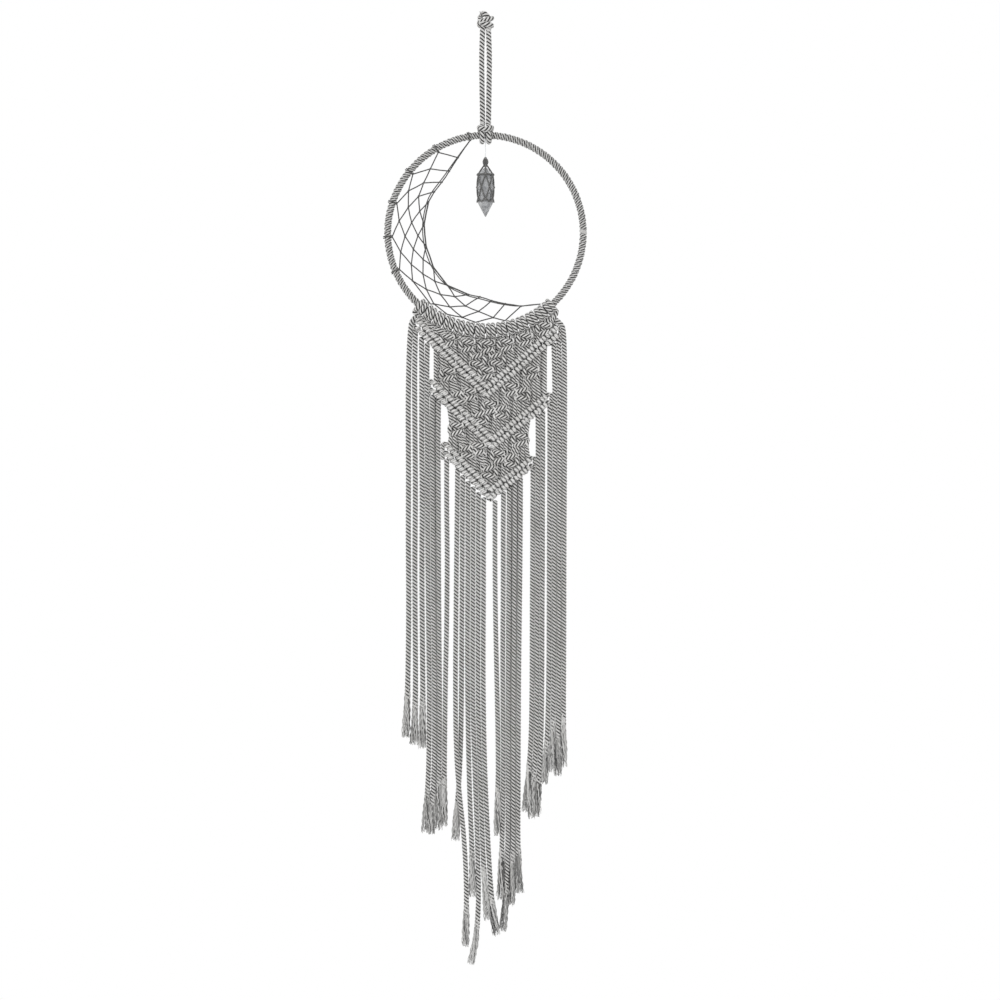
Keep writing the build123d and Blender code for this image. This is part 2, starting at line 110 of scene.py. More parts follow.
FRINGE = {
    "left_outer": [
        [(-0.0736, 0, -0.29), (-0.0754, 0, -0.318), (-0.0763, 0, -0.372), (-0.0758, 0, -0.436),
         (-0.0761, 0, -0.502), (-0.0755, 0, -0.566), (-0.0762, 0, -0.63), (-0.0772, 0, -0.667),
         (-0.0786, 0, -0.698)],
        [(-0.0692, 0, -0.3035), (-0.0699, 0, -0.336), (-0.0695, 0, -0.396), (-0.069, 0, -0.458),
         (-0.0696, 0, -0.522), (-0.0693, 0, -0.585), (-0.0688, 0, -0.645), (-0.0695, 0, -0.678),
         (-0.0706, 0, -0.706)],
        [(-0.063, 0, -0.309), (-0.0626, 0, -0.342), (-0.0629, 0, -0.4), (-0.0622, 0, -0.464),
         (-0.0627, 0, -0.528), (-0.0623, 0, -0.59), (-0.0616, 0, -0.648), (-0.062, 0, -0.68),
         (-0.0626, 0, -0.709)],
    ],
    "left_inner": [
        [(-0.0574, 0, -0.3145), (-0.0578, 0, -0.346), (-0.0573, 0, -0.404), (-0.0572, 0, -0.468),
         (-0.0567, 0, -0.532), (-0.0559, 0, -0.598), (-0.0552, 0, -0.662), (-0.0558, 0, -0.722),
         (-0.0574, 0, -0.758), (-0.0598, 0, -0.792)],
        [(-0.0523, 0, -0.366), (-0.0525, 0, -0.398), (-0.0522, 0, -0.456), (-0.0517, 0, -0.52),
         (-0.051, 0, -0.584), (-0.0502, 0, -0.648), (-0.0501, 0, -0.708), (-0.0514, 0, -0.752),
         (-0.0536, 0, -0.794)],
        [(-0.0463, 0, -0.372), (-0.0467, 0, -0.405), (-0.0464, 0, -0.462), (-0.0462, 0, -0.526),
         (-0.0458, 0, -0.588), (-0.0452, 0, -0.65), (-0.0453, 0, -0.706), (-0.0461, 0, -0.748),
         (-0.0472, 0, -0.789)],
        [(-0.0494, 0.0047, -0.3685), (-0.0492, 0.0047, -0.401), (-0.0488, 0.0048, -0.46),
         (-0.0493, 0.0048, -0.522), (-0.0486, 0.0047, -0.586), (-0.0478, 0.0047, -0.648),
         (-0.0481, 0.0047, -0.702), (-0.0489, 0.0046, -0.742), (-0.0502, 0.0045, -0.78)],
        [(-0.0382, 0, -0.429), (-0.0383, 0, -0.462), (-0.0376, 0, -0.52), (-0.0381, 0, -0.582),
         (-0.0395, 0, -0.644), (-0.0402, 0, -0.7), (-0.0406, 0, -0.744), (-0.0414, 0, -0.786)],
    ],
    "centre": [
        [(-0.0276, 0, -0.4385), (-0.0279, 0, -0.47), (-0.0286, 0, -0.526), (-0.0292, -0.0006, -0.588),
         (-0.0297, -0.0016, -0.65), (-0.029, -0.0025, -0.708), (-0.0258, -0.0029, -0.752),
         (-0.0214, -0.0027, -0.79), (-0.019, -0.0016, -0.832), (-0.0186, -0.0006, -0.872),
         (-0.0196, 0, -0.905)],
        [(-0.0224, 0, -0.445), (-0.0228, 0, -0.478), (-0.0229, 0, -0.534), (-0.0234, 0.0008, -0.596),
         (-0.0236, 0.0018, -0.656), (-0.0244, 0.0026, -0.712), (-0.0272, 0.0029, -0.758),
         (-0.0304, 0.0026, -0.8)],
        [(-0.0172, 0, -0.451), (-0.0175, 0, -0.484), (-0.0174, 0, -0.54), (-0.0179, 0, -0.6),
         (-0.0176, 0, -0.66), (-0.0166, 0, -0.716), (-0.0152, 0, -0.764), (-0.013, 0, -0.812),
         (-0.012, 0, -0.856)],
        [(-0.0121, 0, -0.4565), (-0.0124, 0, -0.49), (-0.0123, 0, -0.546), (-0.0127, 0, -0.606),
         (-0.0126, 0, -0.664), (-0.0108, 0, -0.72), (-0.009, 0, -0.768), (-0.0076, 0, -0.812),
         (-0.0066, 0, -0.854), (-0.0082, 0, -0.885), (-0.0112, 0, -0.906), (-0.0146, 0, -0.922)],
        [(-0.0069, 0, -0.462), (-0.0072, 0, -0.494), (-0.0071, 0, -0.55), (-0.0075, 0, -0.608),
         (-0.0073, 0, -0.666), (-0.0058, 0, -0.722), (-0.004, 0, -0.768), (-0.0024, 0, -0.812),
         (-0.0006, 0, -0.848), (0.002, 0, -0.879)],
        [(-0.0017, 0, -0.467), (-0.002, 0, -0.5), (-0.0019, 0, -0.556), (-0.0023, 0, -0.614),
         (-0.002, 0, -0.67), (-0.0008, 0, -0.724), (0.001, 0, -0.768), (0.003, 0, -0.81),
         (0.0054, 0, -0.848), (0.008, 0, -0.874), (0.0108, 0, -0.893)],
        [(0.0094, 0, -0.47), (0.0093, 0, -0.502), (0.0095, 0, -0.558), (0.0106, 0, -0.616),
         (0.0118, 0, -0.67), (0.0126, 0, -0.722), (0.012, 0, -0.76), (0.0112, 0, -0.795)],
        [(0.0177, 0, -0.461), (0.0174, 0, -0.494), (0.0175, 0, -0.55), (0.017, 0, -0.61),
         (0.0172, 0, -0.668), (0.0176, 0, -0.722), (0.0172, 0, -0.768), (0.016, 0, -0.814),
         (0.0148, 0, -0.858)],
        [(0.0233, 0, -0.4565), (0.0232, 0, -0.489), (0.0229, 0, -0.546), (0.0225, 0, -0.606),
         (0.0223, 0, -0.664), (0.0225, 0, -0.72), (0.0223, 0, -0.766), (0.0218, 0, -0.808),
         (0.021, 0, -0.842), (0.0192, 0, -0.868), (0.0166, 0, -0.89)],
        [(0.0261, 0.0046, -0.4545), (0.026, 0.0046, -0.487), (0.0257, 0.0047, -0.543),
         (0.0251, 0.0047, -0.602), (0.0249, 0.0046, -0.66), (0.025, 0.0046, -0.716),
         (0.0248, 0.0046, -0.762), (0.0241, 0.0045, -0.806), (0.0232, 0.0044, -0.848)],
        [(0.0289, 0, -0.452), (0.0288, 0, -0.485), (0.0285, 0, -0.541), (0.028, 0, -0.6),
         (0.0276, 0, -0.66), (0.0274, 0, -0.718), (0.0275, 0, -0.764), (0.0272, 0, -0.808),
         (0.0266, 0, -0.838), (0.0252, 0, -0.864)],
        [(0.0317, 0.0046, -0.45), (0.0316, 0.0046, -0.482), (0.0312, 0.0047, -0.538),
         (0.0306, 0.0047, -0.598), (0.03, 0.0046, -0.656), (0.0296, 0.0046, -0.712),
         (0.0297, 0.0046, -0.758), (0.0293, 0.0045, -0.798), (0.0287, 0.0044, -0.834)],
        [(0.0345, 0, -0.448), (0.0344, 0, -0.48), (0.034, 0, -0.536), (0.0332, 0, -0.596),
         (0.0326, 0, -0.656), (0.0323, 0, -0.712), (0.0322, 0, -0.758), (0.032, 0, -0.8),
         (0.0326, 0, -0.828), (0.0338, 0, -0.852)],
    ],
    "right_inner": [
        [(0.0468, 0, -0.438), (0.0466, 0, -0.47), (0.0464, 0, -0.526), (0.046, 0, -0.586),
         (0.0459, 0, -0.644), (0.0452, 0, -0.694), (0.0426, 0, -0.734), (0.0394, 0, -0.772)],
        [(0.0517, 0, -0.385), (0.0519, 0, -0.417), (0.0515, 0, -0.472), (0.0513, 0, -0.531),
         (0.0509, 0, -0.59), (0.0507, 0, -0.648), (0.0501, 0, -0.698), (0.0476, 0, -0.738),
         (0.0446, 0, -0.778)],
        [(0.0564, 0, -0.3815), (0.0565, 0, -0.413), (0.0562, 0, -0.468), (0.0561, 0, -0.528),
         (0.0557, 0, -0.588), (0.0556, 0, -0.646), (0.0549, 0, -0.696), (0.0526, 0, -0.738),
         (0.0502, 0, -0.777)],
    ],
    "right_outer": [
        [(0.0634, 0, -0.376), (0.0633, 0, -0.408), (0.0631, 0, -0.464), (0.0628, 0, -0.522),
         (0.0627, 0, -0.58), (0.0624, 0, -0.636), (0.0614, 0, -0.682), (0.0598, 0, -0.716),
         (0.0578, 0, -0.745)],
        [(0.0674, 0, -0.3145), (0.0682, 0, -0.346), (0.0684, 0, -0.404), (0.0682, 0, -0.464),
         (0.0676, 0, -0.526), (0.0677, 0, -0.588), (0.0672, 0, -0.646), (0.0664, 0, -0.69),
         (0.0652, 0, -0.733)],
        [(0.0722, 0, -0.3095), (0.0731, 0, -0.341), (0.0732, 0, -0.398), (0.073, 0, -0.46),
         (0.0725, 0, -0.522), (0.0726, 0, -0.584), (0.0722, 0, -0.642), (0.0716, 0, -0.69),
         (0.0708, 0, -0.736)],
        [(0.077, 0, -0.294), (0.078, 0, -0.324), (0.0781, 0, -0.38), (0.0778, 0, -0.444),
         (0.0774, 0, -0.508), (0.0773, 0, -0.572), (0.0771, 0, -0.634), (0.0768, 0, -0.684),
         (0.0762, 0, -0.728)],
    ],
}


# ---------------------------------------------------------------- ropes as meshes
GROOVE = 0.42  # depth of the grooves between a cord's plies, as a share of its radius
CREST = 0.72  # how full each ply is: less is rounder
CAP = 0.35  # how far a tube's end stands out, as a share of its radius
PAINTED_CREASE_SHADE = 0.39  # how dark the painted shade is along the line where two turns of a coil touch, and along a chevron row's border
CREASE_SHADE_FROM, CREASE_SHADE_OVER = 0.66, 0.24  # how far round towards the next turn that line of painted shade starts, and fades in
THREAD = {"plies": 3, "lay": 2.6, "groove": 0.34, "segments": 9, "step": 0.5}
CAGE_CORD = {"plies": 3, "lay": 3.2, "groove": 0.34, "segments": 9, "step": 0.45}


def resample(points, step):
    """Points at even spacing along a line of points."""
    points = np.asarray(points, float)
    lengths = np.linalg.norm(np.diff(points, axis=0), axis=1)
    along = np.concatenate(([0.0], np.cumsum(lengths)))
    count = max(2, int(round(along[-1] / step)) + 1)
    at = np.linspace(0, along[-1], count)
    return np.stack([np.interp(at, along, points[:, k]) for k in range(3)], axis=1), at


def frames_along(points):
    """Tangents and two normals that don't twist along a line."""
    tangents = np.gradient(points, axis=0)
    tangents /= np.linalg.norm(tangents, axis=1)[:, None]
    start = UP_Y if abs(tangents[0][1]) < 0.9 else np.array([1.0, 0.0, 0.0])
    normal = start - tangents[0] * start.dot(tangents[0])
    normals = [normal / np.linalg.norm(normal)]
    for tangent in tangents[1:]:
        normal = normals[-1] - tangent * normals[-1].dot(tangent)
        normals.append(normal / np.linalg.norm(normal))
    normals = np.array(normals)
    return tangents, normals, np.cross(tangents, normals)


def spread_along(values, share):
    """A number, or a row of numbers spread evenly along a line, at each share of its length."""
    values = np.atleast_1d(values)
    return np.interp(share, np.linspace(0, 1, len(values)), values)


class Shape:
    """Collects tubes and ropes into one mesh, with a rope map and how dark each point is: painted shade in
    grooves and creases, and a random darker tone on loose yarns.
    """

    def __init__(self):
        self.verts, self.faces, self.maps, self.grooves, self.count = [], [], [], [], 0

    def tube(self, points, radius, segments=14, plies=0, lay=10.0, groove=0.36, step=1.1, phase=0.0,
             spread=1.0, normals=None, shade=0.0, groove_shade_strength=1.0, shaded_crease=None):
        """Tube in millimetres along points; with plies it is a twisted rope of that many plies.
        radius and shade may be rows of numbers along it. shade darkens it: painted shade along a chevron row's
        borders, a random darker tone on loose yarns and tufts. spread widens it along the second normal, and
        normals, where given, are its first ones. The last two options set painted shade: how strong it is in the
        grooves between plies, and the direction in which the turns of a coil press on each other, where a line of
        painted shade is drawn."""
        if normals is None:
            points, along = resample(points, step)
            tangents, first, second = frames_along(points)
        else:
            along = np.concatenate(([0.0], np.cumsum(np.linalg.norm(np.diff(points, axis=0), axis=1))))
            tangents = np.gradient(points, axis=0)
            tangents /= np.linalg.norm(tangents, axis=1)[:, None]
            first, second = normals, np.cross(tangents, normals)
        share = along / max(along[-1], 1e-6)
        radii = spread_along(radius, share)
        angles = np.linspace(0, 2 * math.pi, segments, endpoint=False)
        if plies:
            crest = np.abs(np.cos(angles * plies / 2)) ** CREST
            profile = 1 - groove * (1 - crest)
            twist = phase - 2 * math.pi * along / lay
        else:
            crest, profile, twist = np.ones(segments), np.ones(segments), np.full(len(points), phase)
        turn = angles[None, :] + twist[:, None]
        size = radii[:, None] * profile[None, :]
        ring = (points[:, None, :] + first[:, None, :] * (np.cos(turn) * size)[:, :, None]
                + second[:, None, :] * (np.sin(turn) * size * spread)[:, :, None])
        rings = len(points)
        base = self.count
        self.verts.append(ring.reshape(-1, 3))
        # Painted shade in the grooves between plies, together with the darkening given along the tube: painted
        # shade at a chevron row's border, a random darker tone on loose yarns and tufts
        painted_shade_and_tone = np.maximum(groove_shade_strength * (1 - crest)[None, :], spread_along(shade, share)[:, None])
        # Painted shade: a dark line on the sides of a coil's turns that face the next turn, where they touch
        if shaded_crease is not None:
            outward = (first[:, None, :] * np.cos(turn)[:, :, None]
                       + second[:, None, :] * np.sin(turn)[:, :, None])
            facing = (np.abs(outward @ shaded_crease) - CREASE_SHADE_FROM) / CREASE_SHADE_OVER
            painted_shade_and_tone = np.maximum(painted_shade_and_tone, PAINTED_CREASE_SHADE * np.clip(facing, 0, 1))
        self.grooves.append(painted_shade_and_tone.reshape(-1))
        i = np.arange(rings - 1)[:, None] * segments
        j = np.arange(segments)[None, :]
        k = (j + 1) % segments
        quads = np.stack(np.broadcast_arrays(i + j, i + k, i + segments + k, i + segments + j), axis=-1)
        self.faces.append((base + quads).reshape(-1, 4))
        u = np.stack(np.broadcast_arrays(j, j + 1, j + 1, j), axis=-1) / segments
        v_low = (along[:-1] / 10)[:, None]
        v_high = (along[1:] / 10)[:, None]
        v = np.stack(np.broadcast_arrays(v_low, v_low, v_high, v_high), axis=-1)
        u, v = np.broadcast_arrays(u, v)
        self.maps.append(np.stack([u, v], axis=-1).reshape(-1, 2))
        self.count += rings * segments
        last = base + (rings - 1) * segments
        self.close(points[0] - tangents[0] * radii[0] * CAP, base, segments, True)
        self.close(points[-1] + tangents[-1] * radii[-1] * CAP, last, segments, False)

    def close(self, tip, base, segments, start):
        """Close one end of a tube with a shallow cone of quads and a point."""
        self.verts.append(tip[None, :])
        # The tip is painted as dark as the deepest groove shade
        self.grooves.append(np.array([0.5]))
        j = np.arange(0, segments, 2)
        a, b, c = base + j, base + (j + 1) % segments, base + (j + 2) % segments
        tip_index = np.full(len(j), self.count)
        order = [tip_index, c, b, a] if start else [tip_index, a, b, c]
        self.faces.append(np.stack(order, axis=-1))
        self.maps.append(np.zeros((len(j) * 4, 2)))
        self.count += 1

    def rope(self, points, radius, lay, **options):
        """Cord of three plies."""
        self.tube(points, radius, plies=3, lay=lay, groove=GROOVE, **options)

    def build(self, name, material, body, slot, *replaced):
        """Make the object, in metres, attach it to what it rides on, and hide the parts that it stands for."""
        verts = np.vstack(self.verts) * MM
        faces = np.vstack(self.faces)
        mesh = bpy.data.meshes.new(name)
        mesh.vertices.add(len(verts))
        mesh.vertices.foreach_set("co", verts.ravel())
        mesh.loops.add(faces.size)
        mesh.loops.foreach_set("vertex_index", faces.ravel().astype(np.int32))
        mesh.polygons.add(len(faces))
        mesh.polygons.foreach_set("loop_start", np.arange(0, faces.size, 4, dtype=np.int32))
        mesh.polygons.foreach_set("use_smooth", np.ones(len(faces), bool))
        rope_map = mesh.uv_layers.new(name="rope")
        rope_map.data.foreach_set("uv", np.vstack(self.maps).ravel())
        groove = mesh.attributes.new("groove", "FLOAT", "POINT")
        groove.data.foreach_set("value", np.concatenate(self.grooves))
        mesh.update(calc_edges=True)
        mesh.validate()
        mesh.materials.append(material)
        piece = bpy.data.objects.new(name, mesh)
        bpy.context.collection.objects.link(piece)
        if body:
            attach(piece, body)
        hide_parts(*replaced)
        return piece


# ---------------------------------------------------------------- materials
def surface(name, values):
    """A new material with its node tree and its shader, whose own sockets are set from values."""
    material = bpy.data.materials.new(name)
    material.use_nodes = True
    shader = material.node_tree.nodes["Principled BSDF"]
    fill(shader, values)
    return material, material.node_tree, shader


def fill(node, values):
    """Set a node's own sockets."""
    for socket, value in values.items():
        node.inputs[socket].default_value = value


def noise(tree, vector, scale, detail=2.0, **more):
    """Noise texture that is read at a vector, or at the surface's own place."""
    texture = tree.nodes.new("ShaderNodeTexNoise")
    fill(texture, {"Scale": scale, "Detail": detail, **more})
    if vector is not None:
        tree.links.new(vector, texture.inputs["Vector"])
    return texture.outputs["Fac"]


def ramp(tree, source, low, high, ends=(0.0, 1.0)):
    """Colour that goes from low to high between two values of its source."""
    tone = tree.nodes.new("ShaderNodeValToRGB")
    for element, colour, position in zip(tone.color_ramp.elements, (low, high), ends):
        element.position = position
        element.color = (*colour, 1)
    tree.links.new(source, tone.inputs["Fac"])
    return tone.outputs["Color"]


def mapping(tree, vector, scale, rotation=(0, 0, 0)):
    """A vector stretched and turned."""
    node = tree.nodes.new("ShaderNodeMapping")
    fill(node, {"Scale": scale, "Rotation": rotation})
    tree.links.new(vector, node.inputs["Vector"])
    return node.outputs["Vector"]


def remap(tree, source, values):
    """A source mapped from one range to another."""
    node = tree.nodes.new("ShaderNodeMapRange")
    fill(node, values)
    tree.links.new(source, node.inputs["Value"])
    return node.outputs["Result"]


def bump(tree, height, strength, distance, normal=None):
    """Normal raised by a height, over another normal where one is given."""
    node = tree.nodes.new("ShaderNodeBump")
    fill(node, {"Strength": strength, "Distance": distance})
    tree.links.new(height, node.inputs["Height"])
    if normal is not None:
        tree.links.new(normal, node.inputs["Normal"])
    return node.outputs["Normal"]


def mix(tree, first, second, factor=None, blend="MIX"):
    """Two colours mixed, in full where there is no factor; the second may be a plain colour."""
    node = tree.nodes.new("ShaderNodeMix")
    node.data_type = "RGBA"
    node.blend_type = blend
    tree.links.new(first, node.inputs["A"])
    if factor is None:
        node.inputs["Factor"].default_value = 1.0
    else:
        tree.links.new(factor, node.inputs["Factor"])
    if isinstance(second, tuple):
        node.inputs["B"].default_value = (*second, 1)
    else:
        tree.links.new(second, node.inputs["B"])
    return node.outputs["Result"]


def object_place(tree):
    """Place on the object, as a vector."""
    return tree.nodes.new("ShaderNodeTexCoord").outputs["Object"]


def cotton(name, colour, painted_shade_colour, fibre_scale, relief):
    """Twisted cotton: streaks of fibre along each ply, near-black painted shade in the grooves and creases (the
    same attribute also darkens loose yarns at random), slight blotches and a soft sheen.
    """
    material, tree, shader = surface(
        name, {"Roughness": 0.92, "Specular IOR Level": 0.2, "Sheen Weight": 0.35, "Sheen Roughness": 0.5})
    rope_map = tree.nodes.new("ShaderNodeUVMap")
    rope_map.uv_map = "rope"
    place = object_place(tree)
    stretched = mapping(tree, rope_map.outputs["UV"], (fibre_scale, fibre_scale * 0.16, 1.0), (0, 0, 0.35))
    fibres = noise(tree, stretched, 3.0, 4.0, Roughness=0.65)
    blotches = noise(tree, place, 38.0, 3.0)
    fuzz = noise(tree, place, 2600.0)
    shadow = [c * 0.62 for c in colour]
    light = [min(1, c * 1.12) for c in colour]
    tone = ramp(tree, fibres, shadow, light, (0.28, 0.66))
    spots = ramp(tree, blotches, (0.86, 0.855, 0.845), (1.0, 1.0, 1.0), (0.3, 0.7))
    varied = mix(tree, tone, spots, blend="MULTIPLY")
    # Painted shade: the groove attribute mixes a near-black colour into the grooves between plies, along creases
    # and at a chevron row's borders
    groove = tree.nodes.new("ShaderNodeAttribute")
    groove.attribute_name = "groove"
    depth = remap(tree, groove.outputs["Fac"], {"From Min": 0.13, "From Max": 0.43})
    tree.links.new(mix(tree, varied, painted_shade_colour, depth), shader.inputs["Base Color"])
    coarse = bump(tree, fibres, relief, 0.0004)
    tree.links.new(bump(tree, fuzz, 0.25, 0.0001, coarse), shader.inputs["Normal"])
    return material


# Near-black painted shade for the grooves and creases of the cords
CORD_PAINTED_SHADE = (0.012, 0.012, 0.0115)
cord_cotton = cotton("cord_cotton", (0.76, 0.756, 0.745), CORD_PAINTED_SHADE, 9.0, 0.8)
fringe_cotton = cotton("fringe_cotton", (0.68, 0.677, 0.668), CORD_PAINTED_SHADE, 9.0, 0.8)
wrap_cotton = cotton("wrap_cotton", (0.6, 0.597, 0.588), CORD_PAINTED_SHADE, 6.0, 0.6)
web_cotton = cotton("web_cotton", (0.13, 0.129, 0.126), (0.02, 0.02, 0.02), 5.0, 0.5)
fine_cotton = cotton("fine_cotton", (0.2, 0.199, 0.195), (0.03, 0.03, 0.03), 5.0, 0.6)


def steel():
    """Steel wire with a fine grain."""
    material, tree, shader = surface("ring_steel", {"Metallic": 1.0})
    grain = noise(tree, object_place(tree), 900.0)
    tone = ramp(tree, grain, (0.38, 0.38, 0.39), (0.62, 0.62, 0.63))
    tree.links.new(tone, shader.inputs["Base Color"])
    tree.links.new(remap(tree, grain, {"To Min": 0.3, "To Max": 0.5}), shader.inputs["Roughness"])
    return material


def nylon():
    """Clear fishing line, slightly milky."""
    material, tree, shader = surface(
        "clear_nylon", {"Roughness": 0.18, "IOR": 1.53, "Transmission Weight": 0.75})
    milk = noise(tree, object_place(tree), 400.0)
    tone = ramp(tree, milk, (0.72, 0.74, 0.76), (0.95, 0.96, 0.97))
    tree.links.new(tone, shader.inputs["Base Color"])
    return material


def quartz():
    """Clouded crystal: milky veils, fine growth lines across the faces, polished but not even."""
    material, tree, shader = surface("clouded_quartz", {"IOR": 1.54, "Transmission Weight": 0.4})
    place = object_place(tree)
    veil = noise(tree, place, 120.0, 6.0, Distortion=0.8)
    tone = ramp(tree, veil, (0.13, 0.135, 0.145), (0.68, 0.69, 0.7), (0.3, 0.7))
    tree.links.new(tone, shader.inputs["Base Color"])
    tree.links.new(remap(tree, veil, {"To Min": 0.06, "To Max": 0.34}), shader.inputs["Roughness"])
    growth = noise(tree, mapping(tree, place, (40, 40, 900)), 1.0)
    tree.links.new(bump(tree, growth, 0.25, 0.0003), shader.inputs["Normal"])
    return material


def plain(name, colour, mottling):
    """Matt surface with a very slight mottling."""
    material, tree, shader = surface(name, {"Roughness": 0.9})
    dull = [c * (1 - mottling) for c in colour]
    tree.links.new(ramp(tree, noise(tree, None, 6.0), dull, colour), shader.inputs["Base Color"])
    return material


# ---------------------------------------------------------------- lines
def nurbs(points, resolution=10):
    """Points read from the NURBS spline that has these control points."""
    curve = bpy.data.curves.new("line", "CURVE")
    curve.dimensions = "3D"
    spline = curve.splines.new("NURBS")
    spline.points.add(len(points) - 1)
    for target, point in zip(spline.points, points):
        target.co = (*point, 1.0)
    spline.order_u = 3
    spline.use_endpoint_u = True
    spline.resolution_u = resolution
    carrier = bpy.data.objects.new("line", curve)
    mesh = bpy.data.meshes.new_from_object(carrier)
    line = np.array([vertex.co[:] for vertex in mesh.vertices])
    bpy.data.objects.remove(carrier)
    bpy.data.curves.remove(curve)
    bpy.data.meshes.remove(mesh)
    return line


def on_hoop(angle, radius=HOOP_R, y=0.0):
    """Point at an angle in degrees and a radius from the hoop's centre, in millimetres."""
    turn = math.radians(angle)
    return np.array([radius * math.cos(turn), y, HOOP_Z + radius * math.sin(turn)])


rng = np.random.default_rng(SEED)

# ---------------------------------------------------------------- fringe: the free cords
FRAY = 46.0  # the cord's yarns have come apart over this length
YARNS = 30
YARN_STEP = 0.95  # between points along a yarn
YARN_REACH = 4.3  # the furthest that a loose yarn strays from the cord's middle
KINK = 0.34  # how far a loose yarn waves to each side
GIRTH = {"left_outer": 2.85, "left_inner": 2.7, "centre": 2.65, "right_inner": 2.7, "right_outer": 2.7}
LEAD_IN = {
    ("left_outer", 1): [(-0.0675, 0, -0.2815), (-0.0712, 0, -0.2855)],
    ("right_outer", 4): [(0.0695, 0, -0.2855), (0.0738, 0, -0.2890)],
}


def frayed_strand(line, girth):
    """A rope along a line, unravelled into kinked yarns towards its lower end."""
    shape = Shape()
    line, along = resample(line, YARN_STEP)
    whole = along[-1]
    fray = FRAY * rng.uniform(0.8, 1.15)
    body = line[along <= whole - fray + 9]
    share = np.linspace(0, 1, 60)
    swell = np.interp(share, (0, 0.93, 1), (1, 1, 1.1))
    shape.rope(body, girth * swell, lay=10.0 + rng.uniform(-0.5, 0.5), segments=18, step=YARN_STEP,
               phase=rng.uniform(0, 6.28))
    tangents, first, second = frames_along(line)
    for number in range(YARNS):
        angle = 2 * math.pi * number / YARNS + rng.uniform(-0.3, 0.3)
        inner = 2.2 * math.sqrt(rng.uniform(0.05, 1))
        start = max(0.0, whole - fray - rng.uniform(-6, 4))
        end = whole - rng.uniform(0, 7) * rng.uniform(0, 1)
        at = np.arange(int(start / YARN_STEP), int(end / YARN_STEP))
        at = at[at < len(line)]
        share = (at - at[0]) / len(at)
        reach = min(inner + rng.uniform(0.6, 2.6), YARN_REACH)
        out = inner + (reach - inner) * share**0.8
        twist = angle - (0.9 + rng.uniform(-0.4, 0.4)) * share * 2
        kink = KINK * np.sin(at * YARN_STEP / rng.uniform(1.0, 1.5) + rng.uniform(0, 6))
        kink_across = KINK * np.sin(at * YARN_STEP / rng.uniform(1.0, 1.5) + rng.uniform(0, 6))
        yarn = (line[at] + first[at] * (out * np.cos(twist) + kink)[:, None]
                + second[at] * (out * np.sin(twist) + kink_across)[:, None])
        shape.tube(yarn, (0.56, 0.52, 0.5, 0.22), segments=6, step=1.1, shade=rng.uniform(0.0, 0.42))
    return shape


for bundle, routes in FRINGE.items():
    for number, route in enumerate(routes, start=1):
        lead = LEAD_IN.get((bundle, number)) or [(route[0][0], route[0][1], route[0][2] + 0.006)]
        line = nurbs(lead + route, 16)
        name = f"{bundle}_strand_{number}"
        strand = frayed_strand(line / MM, GIRTH[bundle]).build(
            "cord_" + name, fringe_cotton, None, "cotton_cord", name)
        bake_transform(strand)

# ---------------------------------------------------------------- hoop
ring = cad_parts["hoop_ring"]
ring.data.materials.clear()
ring.data.materials.append(steel())

TURNS = 142
STEPS = 20  # points in each turn
WRAP_CORD = 0.92  # half thickness of the flattened cord
WRAP_WIDTH = 2.2  # its width over its thickness
wrap = Shape()
t = np.arange(TURNS * STEPS + STEPS) / STEPS
around = t * 2 * math.pi / TURNS
coil = -t * 2 * math.pi
uneven = 2.84 + 0.05 * np.sin(t * 2.3) + 0.04 * np.sin(t * 5.1)
outward = np.stack([np.cos(around) * np.cos(coil), np.sin(coil), np.sin(around) * np.cos(coil)], axis=1)
middle = np.stack([HOOP_R * np.cos(around), 0 * t, HOOP_Z + HOOP_R * np.sin(around)], axis=1)
wrap.rope(middle + outward * uneven[:, None], WRAP_CORD, lay=9.5, spread=WRAP_WIDTH, normals=outward)
wrap.build("wound_cord", wrap_cotton, "hoop", "cotton_cord", "hoop_wrap")

# ---------------------------------------------------------------- web
LARKS = [270 + LARK_STEP * (number - (LARK_COUNT - 1) / 2) for number in range(LARK_COUNT)]


def clear_of_larks(angle):
    """The angle, or the nearest gap between lark's heads where they sit."""
    if LARKS[0] - LARK_STEP < angle < LARKS[-1] + LARK_STEP:
        return min((lark + LARK_STEP / 2 for lark in LARKS[:-1]), key=lambda gap: abs(gap - angle))
    return angle


def web_point(row, place):
    """Knot of the net: row 0 is on the hoop, the last row there is on the moon's edge."""
    angle = WEB_FIRST + WEB_STEP * place
    rim = HOOP_R - WRAP_R - 0.6
    if row == 0 and angle > LARKS[0] - LARK_STEP:
        angle = clear_of_larks(angle)
        rim -= CORD - 1
    turn = math.radians(angle)
    towards = MOON[0] * math.cos(turn) + MOON[1] * math.sin(turn)
    edge = towards + math.sqrt(towards**2 - MOON[0]**2 - MOON[1]**2 + MOON[2]**2)
    edge += np.interp(WEB_FIRST + WEB_STEP * place, EDGE_ANGLES, EDGE_SHIFTS)
    rows_here = min(WEB_ROWS, 2 * place, 2 * (WEB_HITCHES - 1 - place))
    depth = row / rows_here if row else 0
    return on_hoop(angle, rim + (edge - rim) * depth)


THREAD_R = 0.62
net, hitches, knots = Shape(), Shape(), Shape()


def thread(start, end, lift, radius=0.68):
    """Thin twisted thread between two knots, a little slack and in front of or behind its neighbour."""
    gap = end - start
    middle = (start + end) / 2 + np.array([rng.uniform(-0.3, 0.3), lift, rng.uniform(-0.3, 0.3)])
    net.tube(nurbs([start, start + gap * 0.2, middle, end - gap * 0.2, end], 6), radius,
             phase=rng.uniform(0, 6), **THREAD)


